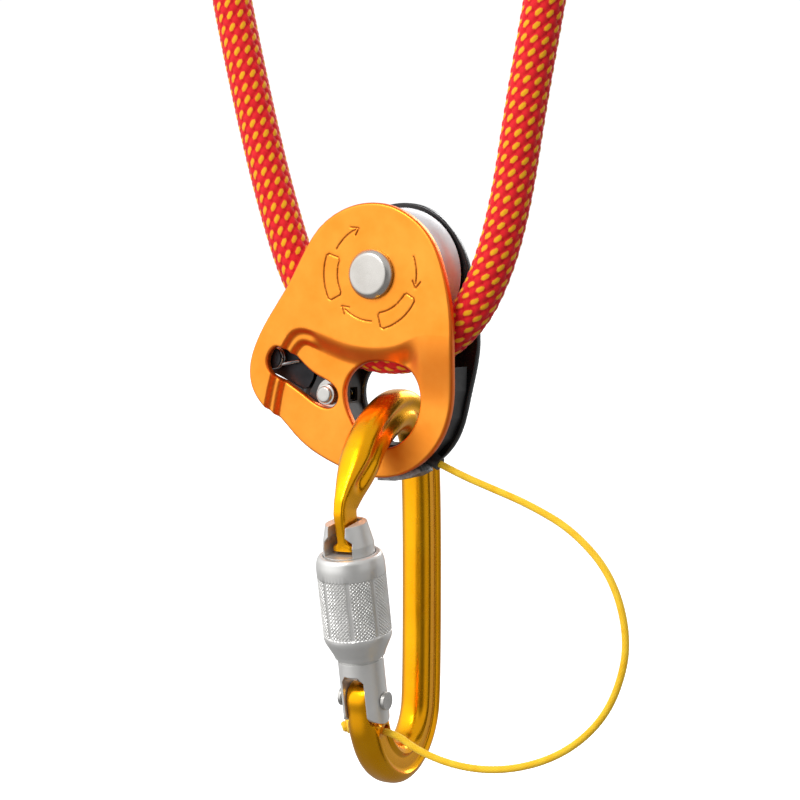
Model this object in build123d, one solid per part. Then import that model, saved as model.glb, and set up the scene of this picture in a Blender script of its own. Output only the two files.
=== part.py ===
from build123d import *
import math
import os

# Rope pulley with a rope-grab cam, rigged: side plates, ball-bearing sheave, cam, release button,
# locking carabiner, leash cord and rope.  Millimetres.
# Frame: origin on the sheave axle at mid thickness, X across, -Y is the opening side plate, +Z up.

# ---------------------------------------------------------------- driving dimensions
SHEET = 2.4          # side plate sheet thickness
DOME = 10.3          # outer face of the plates over the sheave (distance from mid plane)
LOW = 7.0            # outer face of the plates around the carabiner hole
AXLE_R = 4.0
HEAD_R = 6.9
SHEAVE_R = 18.7      # flange radius
ROOT_R = 15.0        # groove root radius
FLANGE_Y = 6.9
BRG_PITCH = 7.8
BALL_R = 1.9
N_BALLS = 9
ROPE_R = 5.5
CORD_R = 1.05
CX = 1.2             # carabiner plane
ROD_X = 9.8          # carabiner stock, across the plane
ROD_D = 11.3         # carabiner stock, in the plane
HINGE = (-16.2, -116.0)   # gate hinge (Y, Z)
LEAN = 11.2          # gate lean from vertical, degrees
CAM_P = (-35.0, -23.5)    # cam pivot (X, Z)
BTN = (-17.0, -33.5)      # release button (X, Z)
HOLE_C = (1.1, -34.3)     # carabiner hole centre

OUT = "parts"
os.makedirs(OUT, exist_ok=True)


def xz(points):
    return [(x, 0, z) for x, z in points]


def prism(points, y0, y1, spline=False):
    """Solid between the planes y0 and y1 from a closed outline given in (X, Z)."""
    p3 = [Vector(x, y0, z) for x, z in points]
    if spline:
        w = Wire([Edge.make_spline(p3, periodic=True)])
    else:
        w = Wire.make_polygon(p3, close=True)
    return extrude(Face(w), amount=y1 - y0, dir=(0, 1, 0))


def cyl_y(x, z, r, y0, y1):
    pl = Plane(origin=(x, y0, z), x_dir=(1, 0, 0), z_dir=(0, 1, 0))
    return extrude(pl * Circle(r), amount=y1 - y0)


def ring_y(x, z, ro, ri, y0, y1):
    return cyl_y(x, z, ro, y0, y1) - cyl_y(x, z, ri, y0 - 0.01, y1 + 0.01)


def box(x0, x1, y0, y1, z0, z1):
    return Pos((x0 + x1) / 2, (y0 + y1) / 2, (z0 + z1) / 2) * Box(x1 - x0, y1 - y0, z1 - z0)


def one(shape):
    """Plain solid or compound of solids from a boolean result."""
    s = shape.solids()
    return s[0] if len(s) == 1 else Compound(children=list(s))


def save(name, shape):
    s = one(shape)
    s.label = name
    export_step(s, os.path.join(OUT, name + ".step"))


# ---------------------------------------------------------------- rounded routes
def route(points, name, last_frac=0.45):
    """Straight runs joined by tangent arcs; each arc radius is 0.45 of its shorter run over tan(half turn)."""
    P = [Vector(*p) for p in points]
    edges, radii = [], []
    cur = P[0]
    for i in range(1, len(P) - 1):
        a, b, c = P[i - 1], P[i], P[i + 1]
        u, v = (a - b).normalized(), (c - b).normalized()
        turn = 180.0 - u.get_angle(v)
        t = last_frac * min((a - b).length, (c - b).length)
        r = t / math.tan(math.radians(turn) / 2)
        radii.append(round(r, 1))
        p1, p2 = b + u * t, b + v * t
        bis = (u + v).normalized()
        centre = b + bis * (r / math.cos(math.radians(turn) / 2))
        mid = centre - bis * r
        edges.append(Edge.make_line(cur, p1))
        edges.append(Edge.make_three_point_arc(p1, mid, p2))
        cur = p2
    edges.append(Edge.make_line(cur, P[-1]))
    w = Wire(edges)
    print(name, "route length", round(w.length, 1), "radii", radii)
    return w, edges, P


def tube(points, r, name):
    w, edges, P = route(points, name)
    d = (P[1] - P[0]).normalized()
    sec = Plane(origin=P[0], z_dir=d) * Circle(r)
    s = sweep(sec, path=w)
    print(name, "volume", round(s.volume), "section x length", round(math.pi * r * r * w.length))
    return s


# ---------------------------------------------------------------- side plates
FRONT_OUTLINE = [(-0.1, 19.6), (5, 18.9), (9.6, 17.1), (15.5, 12.9), (19.1, 8.2), (22, 1), (23.8, -6.7),
                 (24.6, -18), (24, -25.3), (23.2, -32.1), (21.5, -40.4), (18.3, -46.7), (12.5, -52.2),
                 (6.5, -55.1), (-0.9, -56.2), (-7.6, -55.3), (-13.8, -53.2), (-20.8, -50), (-26.4, -46.2),
                 (-30.8, -42), (-36, -37.2), (-39.6, -32.4), (-40.6, -26.4), (-38.5, -19.3), (-34, -11.7),
                 (-27.5, -2.6), (-21.5, 7.5), (-17.6, 12.6), (-11.1, 17.2), (-5.5, 19.1)]
REAR_OUTLINE = [(0, 20.1), (5, 19.3), (10, 16.9), (14.9, 12.3), (18.3, 6.8), (20.6, 0.1), (22.2, -9),
                (23.2, -18.1), (23.1, -25), (22.2, -32.4), (20.8, -39.2), (18.1, -45.8), (13.2, -51.3),
                (6.5, -54.6), (-0.9, -55.7), (-7.6, -54.9), (-13.8, -52.8), (-20.8, -49.6), (-26.4, -45.8),
                (-30.8, -41.5), (-35.7, -36.8), (-39.1, -32.2), (-40.1, -26.4), (-38.0, -19.3), (-33.5, -11.7),
                (-27.1, -2.6), (-21.2, 7.7), (-17.2, 12.9), (-11.1, 17.6), (-5.5, 19.6)]
CREST = [(30, -17.0), (24, -17.0), (19.1, -16.6), (15.6, -16.6), (12, -17.6), (7.8, -19.3), (3.6, -20.0),
         (-2.5, -20.0), (-8.7, -19.0), (-13.7, -17.3), (-19.3, -15.4), (-23.1, -14.6), (-26.5, -15.4),
         (-29, -18.5), (-32, -24), (-34.5, -31), (-36.8, -42), (-42, -55), (-55, -50), (-55, 30), (35, 30)]
FOOT = [(30, -21.9), (24.5, -21.9), (19.5, -22.0), (17, -22.4), (14, -23.2), (9.5, -24.8), (4, -25.8),
        (-3, -25.8), (-10, -24.7), (-15.5, -22.8), (-20.8, -20.7), (-23.3, -19.8), (-24.6, -20.3),
        (-26.5, -22.2), (-29, -27), (-31.2, -33), (-33, -44), (-38, -58), (-55, -50), (-55, 30), (35, 30)]
HOLE = [(1.1, -23.9), (6, -24.5), (10, -26.4), (12.5, -29.6), (13.2, -33.4), (12.8, -37.4), (11.2, -41.4),
        (8.2, -44.7), (3.6, -46.9), (-1.2, -46.7), (-5.6, -44.5), (-8.8, -40.6), (-10.8, -35.8),
        (-10.9, -31.2), (-8.9, -27.4), (-5, -24.8)]
SLOT = [(-34.6, -24.9), (-34.0, -22.3), (-31.6, -20.3), (-28.8, -21.4), (-24.6, -25), (-20.6, -27.9),
        (-16.4, -29.9), (-13.8, -32.2), (-13.5, -35.0), (-15.4, -37.0), (-18.6, -36.9), (-23.3, -34.4),
        (-28.8, -31.0), (-33.1, -27.9)]


def mesa(sign, drop):
    """Raised region of a dished plate: a ruled solid between the crest and the foot of the pressed step."""
    yc, yf = sign * (DOME - drop), sign * (LOW - drop)
    wc = Wire.make_polygon([Vector(x, yc, z) for x, z in CREST], close=True)
    wf = Wire.make_polygon([Vector(x, yf, z) for x, z in FOOT], close=True)
    top = Solid.make_loft([wc, wf], ruled=True)
    base = prism(FOOT, 0, yf)
    return top + base


def dished_plate(outline, sign):
    body = prism(outline, 0, sign * 11, spline=True)
    slab_o = box(-60, 60, min(0, sign * LOW), max(0, sign * LOW), -70, 40)
    inner = LOW - SHEET
    slab_i = box(-60, 60, min(0, sign * inner), max(0, sign * inner), -70, 40)
    outer = (slab_o + mesa(sign, 0)) & body
    return outer - (slab_i + mesa(sign, SHEET))


FRONT_HOLE = [(HOLE_C[0] + 1.05 * (x - HOLE_C[0]), HOLE_C[1] + 1.05 * (z - HOLE_C[1])) for x, z in HOLE]
hole_tool = prism(FRONT_HOLE, -14, 0, spline=True)
REAR_HOLE = FRONT_HOLE
rear_hole_tool = prism(REAR_HOLE, 0, 14, spline=True)
slot_tool = prism(SLOT, -14, 0, spline=True)

front = dished_plate(FRONT_OUTLINE, -1) - hole_tool - slot_tool - cyl_y(0, 0, AXLE_R + 0.05, -14, 0)
rear = dished_plate(REAR_OUTLINE, 1) - rear_hole_tool - cyl_y(0, 0, AXLE_R, 0, 14)

# ---------------------------------------------------------------- axle, washers, bearing, sheave
def y_revolve(profile):
    """Revolve a closed profile of (radius, y) about the Y axis."""
    w = Wire.make_polygon([Vector(r, y, 0) for r, y in profile], close=True)
    return revolve(Face(w), axis=Axis.Y, revolution_arc=360)


axle = y_revolve([(0, -12.7), (6.0, -12.7), (HEAD_R, -11.8), (HEAD_R, -10.4), (AXLE_R, -10.4), (AXLE_R, 10.3),
                  (6.4, 10.3), (6.4, 11.3), (5.4, 12.2), (0, 12.2)])
washers = ring_y(0, 0, 6.9, AXLE_R, -7.8, -6.0) + ring_y(0, 0, 6.9, AXLE_R, 6.0, DOME - SHEET)
race = Pos(0, 0, 0) * revolve(Plane.XY * Pos(BRG_PITCH, 0) * Circle(BALL_R + 0.1), axis=Axis.Y, revolution_arc=360)
inner_ring = ring_y(0, 0, 6.6, AXLE_R, -5.9, 5.9) - race
outer_ring = ring_y(0, 0, 11.2, 9.0, -5.9, 5.9) - race
shields = ring_y(0, 0, 9.0, 6.8, -5.3, -4.9) + ring_y(0, 0, 9.0, 6.8, 4.9, 5.3)
balls, pockets = None, None
for i in range(N_BALLS):
    a = math.radians(i * 360 / N_BALLS)
    c = Pos(BRG_PITCH * math.cos(a), 0, BRG_PITCH * math.sin(a))
    balls = c * Sphere(BALL_R) if balls is None else balls + c * Sphere(BALL_R)
    pockets = c * Sphere(BALL_R + 0.12) if pockets is None else pockets + c * Sphere(BALL_R + 0.12)
ball_cage = ring_y(0, 0, 8.4, 7.2, -2.7, 2.7) - pockets

sh_w = Wire([Edge.make_line((11.2, -5.9, 0), (13.2, -5.9, 0)), Edge.make_line((13.2, -5.9, 0), (14.4, -FLANGE_Y, 0)),
             Edge.make_line((14.4, -FLANGE_Y, 0), (SHEAVE_R - 0.4, -FLANGE_Y, 0)),
             Edge.make_line((SHEAVE_R - 0.4, -FLANGE_Y, 0), (SHEAVE_R, -6.3, 0)),
             Edge.make_three_point_arc((SHEAVE_R, -6.3, 0), (ROOT_R, 0, 0), (SHEAVE_R, 6.3, 0)),
             Edge.make_line((SHEAVE_R, 6.3, 0), (SHEAVE_R - 0.4, FLANGE_Y, 0)),
             Edge.make_line((SHEAVE_R - 0.4, FLANGE_Y, 0), (14.4, FLANGE_Y, 0)),
             Edge.make_line((14.4, FLANGE_Y, 0), (13.2, 5.9, 0)), Edge.make_line((13.2, 5.9, 0), (11.2, 5.9, 0)),
             Edge.make_line((11.2, 5.9, 0), (11.2, -5.9, 0))])
sheave = revolve(Face(sh_w), axis=Axis.Y, revolution_arc=360)

# ---------------------------------------------------------------- rope over the sheave
ROPE = [(-57, 0, 98), (-53, 0, 79), (-45.2, 0, 47), (-38.2, 0, 22), (-29.8, 0, -1.5), (-19.6, 0, -15.4),
        (-6, 0, -22.6), (12, 0, -21.3), (24.8, 0, -12.2), (32.4, 0, 2), (37.6, 0, 20), (42.0, 0, 46.2),
        (47, 0, 71), (51, 0, 92)]
rope = tube(ROPE, ROPE_R, "rope")


def stopper(end, before):
    """Outer shape of a stopper knot on a rope end."""
    d = (Vector(*end) - Vector(*before)).normalized()
    pl = Plane(origin=Vector(*end), x_dir=(0, 1, 0), z_dir=d)
    w = Wire.make_polygon([(0, 0, 0), (8, 0, 0), (12.5, 0, 3), (16, 0, 8), (17.4, 0, 13), (17.4, 0, 19), (16, 0, 24),
                           (12.5, 0, 29), (8, 0, 32), (0, 0, 32)], close=True)
    return pl.location * revolve(Face(w), axis=Axis.Z, revolution_arc=360)


knot_l, knot_r = stopper(ROPE[0], ROPE[1]), stopper(ROPE[-1], ROPE[-2])

# ---------------------------------------------------------------- block between the plates
BLOCK = [(-22.4, -26.0), (-17.5, -24.9), (-12.5, -26.6), (-12.3, -31), (-12.3, -36), (-10, -41.2), (-6.4, -44.8),
         (-1.4, -46.9), (4, -47.1), (9, -45.2), (12.5, -41.8), (14.2, -37.6), (14.6, -33), (14.2, -28.6), (16.2, -26.2),
         (21.6, -25.4), (21.4, -32), (19.8, -39.6), (17, -45.4), (11.8, -50.4), (6, -53.2), (-0.9, -54.4),
         (-7.6, -53.5), (-13.8, -51.4), (-20.2, -48.4), (-25.6, -44.4), (-27.6, -42.4), (-24.5, -36)]
B_F, B_R = -4.3, LOW - SHEET
block = prism(BLOCK, B_F, B_R)
block -= cyl_y(CAM_P[0], CAM_P[1], 14.4, -6, 6)
wear_pts = [(-2.2, -57.2), (3.5, -57.1), (8.5, -55.9), (11.6, -54.3), (10.2, -51.9), (7.4, -53.2), (3, -54.3), (-2.2, -54.5)]
block -= prism(wear_pts, -3.6, 3.6)
RIVETS = [(-8.5, -50.2), (17.6, -36.5), (-22.6, -44.6)]
for x, z in RIVETS:
    block -= cyl_y(x, z, 1.6, -6, 8)
    rear -= cyl_y(x, z, 1.6, 3, 9)
block -= cyl_y(BTN[0], BTN[1], 4.4, -6, -1.8) + cyl_y(BTN[0], BTN[1], 3.9, -1.8, 6)
# small pocket in the wall that faces the carabiner hole
block -= box(-13.4, -11.9, -1.6, 2.4, -35.6, -31.6)
rivets = None
for x, z in RIVETS:
    r = cyl_y(x, z, 1.6, B_F + 0.2, LOW) + cyl_y(x, z, 2.9, LOW, LOW + 1.0)
    rivets = r if rivets is None else rivets + r
wear_bar = prism(wear_pts, -3.6, 3.6)

# leash gland in the lower right wall of the block
GL = Vector(11.6, 0.6, -50.4)
GD = Vector(0.90, 0.0, -0.436).normalized()
gpl = Plane(origin=GL, z_dir=GD)
gland = extrude(gpl * Circle(1.9), amount=4.2) - extrude(gpl * Circle(CORD_R), amount=4.2)
block -= extrude(Plane(origin=GL - GD * 3.0, z_dir=GD) * Circle(1.9), amount=12)

# ---------------------------------------------------------------- cam, its pin, bush, spring and clip
def polar(a, r):
    return (CAM_P[0] + r * math.cos(math.radians(a)), CAM_P[1] + r * math.sin(math.radians(a)))


cam_pts = []
n_teeth = 9
for i in range(n_teeth):
    a0 = 44 - i * 6.0
    base = 10.9 + 1.3 * i / (n_teeth - 1)
    cam_pts += [polar(a0, base - 0.1), polar(a0 - 4.4, base + 0.75), polar(a0 - 5.9, base)]
cam_pts += [polar(-16, 12.9), polar(-26, 13.3), polar(-38, 13.3), polar(-46, 12.2), polar(-62, 7.2), polar(-85, 5.0),
            polar(-115, 4.6), polar(-145, 4.5), polar(-175, 4.5), polar(155, 4.5), polar(125, 4.6), polar(100, 5.2),
            polar(76, 7.4), polar(58, 10.0)]
cam = prism(cam_pts, -4.0, 4.0) - cyl_y(CAM_P[0], CAM_P[1], 3.0, -6, 6)
cam_bush = ring_y(CAM_P[0], CAM_P[1], 3.0, 2.05, -4.2, 4.2)
cam_pin = cyl_y(CAM_P[0], CAM_P[1], 2.0, -7.4, 10.3) + cyl_y(CAM_P[0], CAM_P[1], 3.1, 10.3, 11.3) \
    + cyl_y(CAM_P[0], CAM_P[1], 2.7, 4.35, DOME - SHEET - 0.02)
rear -= cyl_y(CAM_P[0], CAM_P[1], 2.0, 3, 12)
cam_clip = ring_y(CAM_P[0], CAM_P[1], 3.1, 2.0, -7.3, -6.7)
leg_d = Vector(1.0, 0, 0.17).normalized()
leg = extrude(Plane(origin=(CAM_P[0] - 0.6, -4.85, CAM_P[1] - 3.0), z_dir=leg_d) * Circle(0.45), amount=9.4)
cam_spring = ring_y(CAM_P[0], CAM_P[1], 3.3, 2.4, -6.6, -4.35) + leg

# ---------------------------------------------------------------- release button
bx, bz = BTN
btn_prof = [(0, -8.4), (1.9, -8.4), (2.3, -8.0), (2.3, -7.3), (2.9, -7.3), (2.9, -1.75), (3.7, -1.75), (3.7, -1.2),
            (1.3, -1.2), (1.3, 0.2), (0, 0.2)]
button = Pos(bx, 0, bz) * y_revolve(btn_prof)
button_bush = ring_y(bx, bz, 4.4, 2.97, -4.5, -1.8)
button_spring = ring_y(bx, bz, 2.6, 1.7, -1.1, B_R)

# ---------------------------------------------------------------- carabiner
def gate_xyz(x, v, s):
    """Gate frame to row frame: v is outward from the gate axis, s is up the gate from the hinge."""
    c, sn = math.cos(math.radians(LEAN)), math.sin(math.radians(LEAN))
    return Vector(x, HINGE[0] - sn * s - c * v, HINGE[1] + c * s - sn * v)


G_DIR = (gate_xyz(0, 0, 1) - gate_xyz(0, 0, 0))
G_OUT = (gate_xyz(0, 1, 0) - gate_xyz(0, 0, 0))


def gpl_at(s):
    return Plane(origin=gate_xyz(CX, 0, s), x_dir=(1, 0, 0), z_dir=G_DIR)


def gcyl(r, s0, s1):
    return extrude(gpl_at(s0) * Circle(r), amount=s1 - s0)


def gcone(r0, r1, s0, s1):
    return loft([gpl_at(s0) * Circle(r0), gpl_at(s1) * Circle(r1)])


def gprism(points, v0, v1):
    """Prism along the outward direction from an outline in (x, s)."""
    w = Wire.make_polygon([gate_xyz(CX + x, v0, s) for x, s in points], close=True)
    return extrude(Face(w), amount=v1 - v0, dir=G_OUT)


BODY = [(CX, -20.4, -53.0), (CX, -13.4, -43.6), (CX, 0.8, -36.3), (CX, 11.0, -40.2),
        (CX, 15.6, -51.5), (CX, 15.6, -119), (CX, 13.4, -128.4), (CX, 7.2, -135.3), (CX, -1.2, -137.4),
        (CX, -9.2, -133.0), (CX, -13.8, -125.4), (CX, -15.6, -119.2)]
bw, be, bp = route(BODY, "carabiner")
bd = (bp[1] - bp[0]).normalized()
bpl = Plane(origin=bp[0], x_dir=(1, 0, 0), z_dir=bd)
rod = sweep(bpl * RectangleRounded(ROD_X, ROD_D, 3.9), path=bw)
neck_top = Plane(origin=bp[0] - bd * 0.0, x_dir=(1, 0, 0), z_dir=bd)
neck = loft([neck_top * RectangleRounded(ROD_X, ROD_D, 2.2),
             Plane(origin=gate_xyz(CX, -0.2, 54.6), x_dir=(1, 0, 0), z_dir=G_DIR) * RectangleRounded(3.5, 8.0, 1.0)])
nose = gprism([(-1.7, 55.2), (1.7, 55.2), (1.7, 45.6), (3.5, 43.6), (3.5, 43.1), (-3.5, 43.1), (-3.5, 43.6), (-1.7, 45.6)],
              -3.4, 3.4)
hc = Vector(0, HINGE[0], HINGE[1])


def xcyl(y, z, r, x0, x1):
    return extrude(Plane(origin=(x0, y, z), x_dir=(0, 1, 0), z_dir=(1, 0, 0)) * Circle(r), amount=x1 - x0)


knuckle = xcyl(HINGE[0], HINGE[1], 4.8, CX - 3.1, CX + 3.1)
frame_c = rod + neck + nose + knuckle
frame_c -= xcyl(HINGE[0], HINGE[1], 6.8, CX + 3.1, CX + 9) + xcyl(HINGE[0], HINGE[1], 6.8, CX - 9, CX - 3.1)
frame_c -= xcyl(HINGE[0], HINGE[1], 1.75, CX - 9, CX + 9)
# nothing of the body stays above the knuckle inside the gate
frame_c -= gprism([(-6, 4.9), (6, 4.9), (6, 9.5), (-6, 9.5)], -8, 8)
LH = (-12.2, -124.9)   # leash hole, (Y, Z)
frame_c -= xcyl(LH[0], LH[1], 1.45, CX - 9, CX + 9)
rivet = xcyl(HINGE[0], HINGE[1], 1.75, CX - 6.4, CX + 6.4) + xcyl(HINGE[0], HINGE[1], 2.5, CX - 7.3, CX - 6.35) \
    + xcyl(HINGE[0], HINGE[1], 2.5, CX + 6.35, CX + 7.3)

# gate: barrel with a fork at the hinge and a T slot for the nose
gate = gcyl(6.3, 0, 11.8) + gcyl(5.95, 11.8, 31) + gcyl(7.0, 31, 44.5) + gcone(7.0, 5.7, 44.5, 50.3)
lobes = xcyl(HINGE[0], HINGE[1], 6.3, CX - 6.3, CX + 6.3) & gcyl(6.3, -6.6, 8)
gate += lobes
gate -= gprism([(-3.4, -8), (3.4, -8), (3.4, 6.4), (2.0, 8.2), (-2.0, 8.2), (-3.4, 6.4)], -9, 9)
gate -= gprism([(-4.4, 42.0), (4.4, 42.0), (4.4, 46.0), (2.7, 47.6), (2.7, 52), (-2.7, 52), (-2.7, 47.6), (-4.4, 46.0)], -4.3, 9)
gate -= xcyl(HINGE[0], HINGE[1], 1.8, CX - 9, CX + 9)
gate -= gcyl(2.5, 6, 30)
plunger = gcyl(1.5, 5.3, 14) + gcyl(2.4, 14, 15.2)
gate_spring = gcyl(2.3, 15.3, 29.9) - gcyl(1.5, 15.3, 29.9)

# lock sleeve on the thread of the gate, with a drag ring inside
S0, S1 = 12.6, 41.8
sleeve = gcone(6.9, 8.0, S0, 16.2) + gcone(8.0, 9.4, 16.2, 18.4) + gcyl(9.4, 18.4, 38.2) + gcone(9.4, 8.5, 38.2, S1)
for k in range(8):
    a = math.radians(k * 45 + 22.5)
    gr = Plane(origin=gate_xyz(CX, 0, 19.4), x_dir=(1, 0, 0), z_dir=G_DIR)
    sleeve -= extrude(gr * Pos(10.1 * math.cos(a), 10.1 * math.sin(a)) * Circle(1.0), amount=15.4)
sleeve -= gcyl(6.03, S0 - 1, S1 + 1) + gcyl(7.25, 26.2, S1 + 1) + gcyl(7.1, 22.9, 24.9)
drag_ring = gcyl(6.95, 23.0, 24.8) - gcyl(6.0, 22.9, 24.9)

# ---------------------------------------------------------------- leash cord
LEASH = [(15.0, 0.6, -52.05), (22.0, 0.5, -55.0), (30.8, 0.2, -57.9), (43.6, -1.2, -61.8), (57.6, -2.6, -68.0),
         (69.8, -4.2, -79.3), (75.2, -5.8, -95.8), (72.4, -7.6, -110.2), (66.1, -9.2, -120.1), (55.7, -10.6, -127.9),
         (41.9, -11.6, -132.4), (28.5, -12.2, -132.8), (15.6, -12.2, -129.8), (7.4, -12.2, -124.9), (-4.1, -12.2, -124.9)]
leash = tube(LEASH, 1.0, "leash")
kw = Wire.make_polygon([Vector(-4.2, LH[0], LH[1]), Vector(-4.2, LH[0] + 1.5, LH[1]), Vector(-5.0, LH[0] + 2.2, LH[1]),
                        Vector(-6.4, LH[0] + 2.3, LH[1]), Vector(-7.6, LH[0] + 1.7, LH[1]), Vector(-8.1, LH[0] + 0.8, LH[1]),
                        Vector(-8.1, LH[0], LH[1])], close=True)
cord_knot = revolve(Face(kw), axis=Axis((0, LH[0], LH[1]), (1, 0, 0)), revolution_arc=360)

# ---------------------------------------------------------------- write
PARTS = {
    "front_side_plate": front, "rear_side_plate": rear, "wheel_axle": axle, "thrust_washers": washers,
    "bearing_inner_ring": inner_ring, "bearing_outer_ring": outer_ring, "bearing_shields": shields,
    "bearing_balls": balls, "bearing_cage": ball_cage, "sheave": sheave, "rope": rope,
    "rope_knot_left": knot_l, "rope_knot_right": knot_r, "spacer_block": block, "spacer_rivets": rivets,
    "wear_bar": wear_bar, "leash_gland": gland, "cam": cam, "cam_bushing": cam_bush, "cam_pivot_pin": cam_pin,
    "cam_pin_clip": cam_clip, "cam_spring": cam_spring, "release_button": button, "button_bush": button_bush,
    "button_spring": button_spring, "carabiner_body": frame_c, "gate_rivet": rivet, "gate": gate,
    "gate_plunger": plunger, "gate_spring": gate_spring, "lock_sleeve": sleeve, "sleeve_drag_ring": drag_ring,
    "leash": leash, "leash_knot": cord_knot,
}
for name, shape in PARTS.items():
    save(name, shape)
print(len(PARTS), "nodes")
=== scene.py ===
import bpy
import bmesh
import math
import numpy as np
from mathutils import Vector, Matrix, geometry


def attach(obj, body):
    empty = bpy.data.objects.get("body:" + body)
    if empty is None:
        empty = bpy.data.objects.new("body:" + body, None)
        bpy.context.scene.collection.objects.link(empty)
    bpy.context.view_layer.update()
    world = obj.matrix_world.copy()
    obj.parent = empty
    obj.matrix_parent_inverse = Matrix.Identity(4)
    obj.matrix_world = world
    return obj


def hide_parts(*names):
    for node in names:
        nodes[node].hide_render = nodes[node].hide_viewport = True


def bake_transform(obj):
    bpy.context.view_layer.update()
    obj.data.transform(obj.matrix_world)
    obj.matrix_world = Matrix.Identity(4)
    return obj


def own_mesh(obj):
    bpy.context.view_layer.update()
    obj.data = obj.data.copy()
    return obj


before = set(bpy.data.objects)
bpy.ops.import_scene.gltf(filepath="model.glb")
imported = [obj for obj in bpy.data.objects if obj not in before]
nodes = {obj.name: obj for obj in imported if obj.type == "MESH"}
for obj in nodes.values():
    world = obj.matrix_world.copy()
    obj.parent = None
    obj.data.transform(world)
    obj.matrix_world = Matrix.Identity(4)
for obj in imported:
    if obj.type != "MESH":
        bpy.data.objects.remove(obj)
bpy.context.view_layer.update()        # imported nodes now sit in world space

MM = 0.001
scene = bpy.context.scene

# ------------------------------------------------------------------ camera
az, el = math.radians(30.0), math.radians(3.0)
back = Vector((math.sin(az) * math.cos(el), -math.cos(az) * math.cos(el), math.sin(el)))
right = Vector((math.cos(az), math.sin(az), 0.0))
up = back.cross(right)
cam_data = bpy.data.cameras.new("camera")
cam_data.lens, cam_data.sensor_width = 97.2, 36.0
cam_data.clip_start, cam_data.clip_end = 0.01, 50.0
cam = bpy.data.objects.new("camera", cam_data)
m = Matrix((right, up, back)).transposed().to_4x4()
m.translation = Vector((302.719, -519.204, -3.432)) * MM
cam.matrix_world = m
scene.collection.objects.link(cam)
scene.camera = cam


# ------------------------------------------------------------------ mesh helpers (all in mm, written in metres)
def make_obj(name, co, faces, body, sharp=None, mat=None):
    me = bpy.data.meshes.new(name)
    co = np.asarray(co, float) * MM
    me.from_pydata(co.tolist(), [], [tuple(int(i) for i in f) for f in faces])
    me.validate()
    me.shade_smooth()
    if sharp:
        me.set_sharp_from_angle(angle=math.radians(sharp))
    ob = bpy.data.objects.new(name, me)
    scene.collection.objects.link(ob)
    if mat:
        me.materials.append(mat)
    if body:
        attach(ob, body)
    return ob


def grid_faces(nr, ns, close=True):
    """Quads between nr rings of ns points each."""
    out = []
    last = ns if close else ns - 1
    for i in range(nr - 1):
        a, b = i * ns, (i + 1) * ns
        for j in range(last):
            k = (j + 1) % ns
            out.append((a + j, a + k, b + k, b + j))
    return out


def tidy(ob, dist=1e-7, normals=True):
    bm = bmesh.new()
    bm.from_mesh(ob.data)
    bmesh.ops.remove_doubles(bm, verts=bm.verts, dist=dist)
    if normals:
        bmesh.ops.recalc_face_normals(bm, faces=bm.faces)
    bm.to_mesh(ob.data)
    bm.free()


def nurbs(points, name):
    """Points along the NURBS spline whose control points are the route's points."""
    cu = bpy.data.curves.new(name, "CURVE")
    cu.dimensions, cu.resolution_u = "3D", 32
    sp = cu.splines.new("NURBS")
    sp.points.add(len(points) - 1)
    for i, p in enumerate(points):
        sp.points[i].co = (p[0] * MM, p[1] * MM, p[2] * MM, 1.0)
    sp.order_u = 3
    sp.use_endpoint_u = True
    ob = bpy.data.objects.new(name, cu)
    scene.collection.objects.link(ob)
    me = bpy.data.meshes.new_from_object(ob)
    pts = np.array([tuple(v.co) for v in me.vertices]) / MM
    bpy.data.objects.remove(ob)
    bpy.data.curves.remove(cu)
    bpy.data.meshes.remove(me)
    return pts


def even(P, ds):
    """The same line with points ds apart."""
    P = np.asarray(P, float)
    d = np.linalg.norm(np.diff(P, axis=0), axis=1)
    keep = np.concatenate([[True], d > 1e-7])
    P = P[keep]
    s = np.concatenate([[0], np.cumsum(np.linalg.norm(np.diff(P, axis=0), axis=1))])
    n = max(2, int(round(s[-1] / ds)) + 1)
    t = np.linspace(0, s[-1], n)
    return np.stack([np.interp(t, s, P[:, k]) for k in range(3)], 1), t


def frames_along(P, ref=(0.0, 1.0, 0.0)):
    T = np.gradient(P, axis=0)
    T /= np.linalg.norm(T, axis=1)[:, None]
    N = np.zeros_like(P)
    n = np.array(ref, float)
    for i in range(len(P)):
        n = n - T[i] * (T[i] @ n)
        n /= np.linalg.norm(n)
        N[i] = n
    return T, N, np.cross(T, N)


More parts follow.
